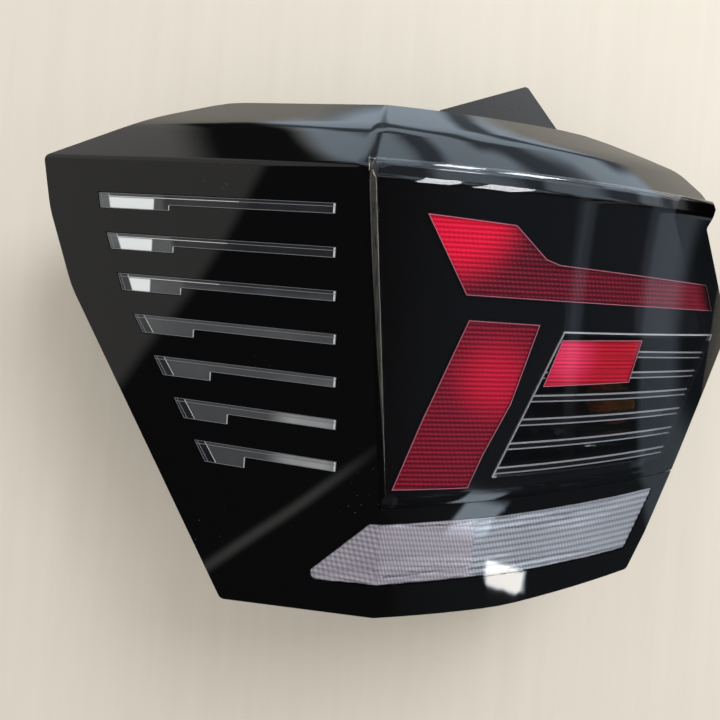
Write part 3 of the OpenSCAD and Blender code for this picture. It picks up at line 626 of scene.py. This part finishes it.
def lens_cover():
    """The raised smoke lens: flat across its face, with a broad bevel along the top, a tight rounding
    down its left edge and walls that stand on the cover"""
    low_left, low_z, top_left = 10.8, -76, -9
    outline = ((low_left, low_z), (181.6, -55.9), (213.7, 27), (185.2, 84.5), (192.7, 96.5),
               (191.8, LENS_TOP), (top_left, LENS_TOP))
    corner, left_squeeze = 13.0, 2.8
    edge_height, brow, tight_width, bevel_slope, bevel_end, soft_width = 6.9, 1.44, 3.0, 0.52, 8.5, 4.0

    def left_edge(z):
        return low_left + (z - low_z) * (top_left - low_left) / (LENS_TOP - low_z)

    def proud(x, z):
        """How far the lens stands out: a tight rounding, then the bevel, then a soft rounding"""
        down, along = LENS_TOP - z, (x - left_edge(z)) * left_squeeze
        if down < corner and along < corner:
            edge = corner - math.hypot(corner - down, corner - along)
        else:
            edge = min(down, along)
        edge = max(edge, 0.0)
        tight, soft = min(edge / tight_width, 1.0), max(min((edge - bevel_end) / soft_width, 1.0), 0.0)
        slope = bevel_slope * (min(edge, bevel_end) + soft_width * (soft - soft * soft / 2))
        return LENS_PROUD - edge_height + brow * math.sqrt(1 - (1 - tight) ** 2) + slope

    coarse_rows, fine_rows, fine_band = 110, 80, 16
    edge_columns, face_columns, end_columns = 30, 108, 12
    edge_band, edge_share, end_x, end_band, end_share = 9.0, 0.3, 183.0, 1.0, 0.1
    foot, top_foot = curved_face(-1.5), curved_face(-6.0)
    low, high = low_z + 0.02, LENS_TOP - 0.01
    band = high - fine_band
    levels = [low + (band - low) * i / coarse_rows for i in range(coarse_rows)]
    levels += [band + fine_band * i / fine_rows for i in range(fine_rows + 1)]
    mesh = bmesh.new()
    grid = []
    for z in levels:
        left, right = span_at(outline, z)
        span = right - left
        edge = left + min(edge_band, edge_share * span)
        middle = min(end_x, right - min(end_band, end_share * span))
        spots = [left + (edge - left) * j / edge_columns for j in range(edge_columns)]
        spots += [edge + (middle - edge) * j / face_columns for j in range(face_columns)]
        spots += [middle + (right - middle) * j / end_columns for j in range(end_columns + 1)]
        level = [mesh.verts.new(at(left, foot(left, z), z))]
        level += [mesh.verts.new(at(x, curved_face(proud(x, z))(x, z), z)) for x in spots]
        level.append(mesh.verts.new(at(right, foot(right, z), z)))
        grid.append(level)
    below, above = [[mesh.verts.new(at(vert.co.x / MM, depth(vert.co.x / MM, z), z)) for vert in level]
                    for level, depth, z in ((grid[0], foot, low), (grid[-1], top_foot, levels[-1]))]
    grid = [below] + grid + [above]
    for one, two in zip(grid, grid[1:]):
        for j in range(len(one) - 1):
            mesh.faces.new((one[j], one[j + 1], two[j + 1], two[j]))
    cover = new_piece("lens_cover", mesh, "smoke_acrylic", smooth=True)
    cover.data.set_sharp_from_angle(angle=math.radians(40))
    wall = cover.modifiers.new("wall", "SOLIDIFY")
    wall.thickness, wall.offset = 1.5 * MM, -1.0
    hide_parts("smoke_lens")


lens_cover()

# Painted highlights: pale bars along the moulded edges of the red panels
rims = bmesh.new()
for outline, out in ((UPPER_RED, PANEL_PROUD), (LOWER_RED, PANEL_PROUD), (STOP, STOP_PROUD)):
    add_rim(rims, inward(outline, 0.05), 0.42, curved_face(out - 0.1), curved_face(out + 0.12))
new_piece("painted_panel_highlights", rims, "painted_red_highlight")


def slot_left(z):
    return max(x + (z - corner) * slope for x, corner, slope in LEFT_SLOPES) + SLOT_MARGIN


def painted_blade_edge_highlights():
    """Painted highlights: thin pale bars on the nested moulded edges of the clear blades, where these
    catch the light as thin lines
    """
    bright, dim = bmesh.new(), bmesh.new()
    low, high, crest = [slotted_face(out - BLADE_RECESS) for out in (-0.1, 0.2, 0.3)]
    for i in range(SLOT_COUNT):
        top, tall = SLOT_TOP - i * SLOT_PITCH, SLOT_TALL + i * SLOT_GROWTH
        start, foot = slot_left(top), slot_left(top - tall)
        end, step = SLOT_END + i * END_STEP, start + SLOT_BLOCK - i * BLOCK_STEP
        floor, thin = top - tall, top - SLOT_THIN
        outline = [(foot, floor), (step, floor), (step, thin), (end, thin), (end, top), (start, top)]
        add_rim(dim, inward(outline, 0.1), 0.3, low, high)
        add_line(dim, (end, top - 1.7), (start + 1.5, top - 1.7), 0.3, low, high)
        add_line(dim, (start + 1.8, top - 0.4), (foot + 1.8, floor + 0.4), 0.3, low, high)
        add_line(bright, (start + 6.4, top - 0.5), (foot + 6.4, floor + 0.5), 0.3, low, high)
        add_line(bright, (end - 0.4, thin + 0.3), (end - 0.4, top - 0.3), 0.9, low, high)
        add_line(bright, (step - 0.4, floor + 0.4), (step - 0.4, thin), 0.4, low, high)
        if i < 3:
            reach = step + 40 - 9 * i
            add_line(bright, (reach, top - 1.7), (start + 7, top - 1.7), 0.35, low, crest)
    new_piece("painted_blade_edge_highlights", dim, "painted_dim_highlight")
    new_piece("blade_highlights", bright, "painted_bright_highlight")


painted_blade_edge_highlights()


# Camera
TILT, ROLL = math.radians(6.2), math.radians(4.5)
ahead = Vector((0, math.cos(TILT), -math.sin(TILT)))
level = Vector((1, 0, 0))
upward = Vector((0, math.sin(TILT), math.cos(TILT)))
right = math.cos(ROLL) * level + math.sin(ROLL) * upward
top = math.cos(ROLL) * upward - math.sin(ROLL) * level
eye = Vector((-0.005109, -0.495879, 0.019560))
lens = bpy.data.cameras.new("camera")
lens.sensor_width, lens.lens = 36.0, 36.1
lens.clip_start, lens.clip_end = 0.01, 50.0
camera = bpy.data.objects.new("camera", lens)
camera.matrix_world = Matrix.Translation(eye) @ Matrix((right, top, -ahead)).transposed().to_4x4()
bpy.context.scene.collection.objects.link(camera)
bpy.context.scene.camera = camera


# Stage and light
def stage_board():
    """A pale board that the lamp lies on with its back, square to the camera's axis. From behind it is
    clear, and gloss sees it only as far as a table's edge."""
    board = bmesh.new()
    bmesh.ops.create_grid(board, x_segments=1, y_segments=1, size=3.0)
    mesh = bpy.data.meshes.new("board")
    board.to_mesh(mesh)
    board.free()
    obj = bpy.data.objects.new("board", mesh)
    turn = Matrix((level, upward, -ahead)).transposed().to_4x4()
    obj.matrix_world = Matrix.Translation(ahead * BOARD_BEHIND) @ turn
    bpy.context.scene.collection.objects.link(obj)
    s = finish("pale_board")
    where, (x, y, z) = s.place()
    stretched = s.add("ShaderNodeMapping", inputs={"Vector": where, "Scale": (26.0, 1.2, 1.0)}, out=0)
    grain = s.noise(stretched, 3.0, 5.0, 0.6)
    blotch = s.noise(where, 5.0, 3.0)
    face = s.add("ShaderNodeBsdfPrincipled", inputs={
        "Base Color": s.tint(grain * 0.6 + blotch * 0.4, (0.50, 0.465, 0.41), (0.61, 0.57, 0.505)),
        "Roughness": 0.8, "IOR": 1.3})
    behind = s.add("ShaderNodeNewGeometry", out="Backfacing")
    gloss = s.add("ShaderNodeLightPath", out="Is Glossy Ray")
    beyond = (y + blotch * 0.12).step(TABLE_EDGE, 0.02) * gloss
    clear = s.add("ShaderNodeBsdfTransparent")
    shown = s.add("ShaderNodeMixShader", inputs={0: behind.most(beyond), 1: face, 2: clear})
    obj.data.materials.append(s.surface(shown))


def window_pane(name, toward, where, width, height, lights_all=True):
    """A lit pane in this direction from a point of the lamp, that only gloss and the lamp see"""
    light = bpy.data.lights.new(name, "AREA")
    light.shape, light.size, light.size_y = "RECTANGLE", width, height
    light.energy = PANE_RADIANCE * math.pi * width * height
    light.color = (0.95, 0.98, 1.0)
    obj = bpy.data.objects.new(name, light)
    toward = Vector(toward).normalized()
    obj.location = Vector(where) + toward * PANE_DISTANCE
    obj.rotation_mode = "QUATERNION"
    side = Vector((1, 0, 0))
    across = (side - toward * side.dot(toward)).normalized()
    turn = Matrix((across, toward.cross(across), toward)).transposed()
    obj.rotation_quaternion = turn.to_quaternion()
    obj.visible_camera, obj.visible_diffuse = False, lights_all
    bpy.context.scene.collection.objects.link(obj)


def studio_world():
    """Even pale light for all that scatters it. Gloss sees a dim room by direction: a bright ceiling, a
    pale wall and a brighter doorway at the left, pale posts at the right, and low down a streak, a
    glint and a patch of sky."""
    world = bpy.data.worlds.new("studio")
    bpy.context.scene.world = world
    s = Shader(world)
    toward = s.add("ShaderNodeTexCoord", out="Generated")
    x, y, z = [s.add("ShaderNodeSeparateXYZ", inputs={0: toward}, out=i) for i in range(3)]
    wave = s.noise(toward, 2.2, 2.0) - 0.5
    front_half = 1 - y.step(0.0, 0.1)
    ceiling = z.step(0.62, 0.08) * (x + wave * 0.5).step(-0.26, 0.03)
    sweep = (y * 1.3 + x * 0.35 + wave * 1.1).fold(0.30).step(0.40, 0.25)
    left_wall = (1 - (x - z * 0.4 + wave * 0.06).step(-0.74, 0.008)) * (1 - z.step(0.55, 0.1))
    doorway = (1 - x.step(-0.93, 0.01)) * (1 - y.step(0.25, 0.03)) * (1 - z.step(0.5, 0.05))
    front = x.step(0.30, 0.25) * (1 - z.step(0.35, 0.1))
    shelf = (1 - (x + wave * 0.3).step(-0.42, 0.03)) * z.step(0.5, 0.1)
    edge_line = (z - x * 1.22 + wave * 0.03).between(0.412, 0.424, 0.012)
    streak = edge_line * (1 - x.step(-0.55, 0.04)) * x.step(-0.68, 0.04)
    glint = x.between(0.575, 0.69, 0.01) * (z + x * 0.05).between(-0.349, -0.322, 0.003) * front_half
    sky = (x - z * 1.6).between(0.96, 1.08, 0.01) * z.between(-0.325, -0.275, 0.01) * front_half
    near_post = x.between(0.79, 0.82, 0.008) * (z + wave * 0.2).step(-0.12, 0.1) * 0.7
    posts = (near_post + x.between(0.945, 0.988, 0.006)) * (1 - y.step(0.05, 0.1))
    room = 0.012 + ceiling * (0.35 + sweep * 1.5) + left_wall * 0.55 + shelf * 0.6 + posts * 0.6
    room = room + front * 0.09 + doorway * 4.0 + streak * 1.0 + glint * 20.0 + sky * 5.0
    rays = [s.add("ShaderNodeLightPath", out=name) for name in ("Is Camera Ray", "Is Glossy Ray")]
    strength = rays[0] * 0.92 + rays[1] * room + (1 - rays[0].most(rays[1])) * 0.95
    cool = ceiling.most(front) * (1 - glint) * rays[1]
    light = s.add("ShaderNodeBackground", inputs={
        "Color": s.tint(cool, (1.0, 0.97, 0.92), (0.72, 0.86, 1.0)), "Strength": strength})
    s.add("ShaderNodeOutputWorld", inputs={"Surface": light})


BOARD_BEHIND, TABLE_EDGE, PANE_DISTANCE, PANE_RADIANCE = 0.038, 0.36, 1.5, 16.0
stage_board()
studio_world()
LENS_CORNER = at(60, 0, 98)
window_pane("pane_left_low", (0.275, -0.70, 0.62), LENS_CORNER, 0.21, 0.95)
window_pane("pane_right_low", (0.51, -0.62, 0.58), LENS_CORNER, 0.27, 0.90)
window_pane("pane_left_high", (0.24, 0.02, 0.96), LENS_CORNER, 0.19, 0.50, False)
window_pane("pane_right_high", (0.46, -0.02, 0.88), LENS_CORNER, 0.24, 0.42, False)
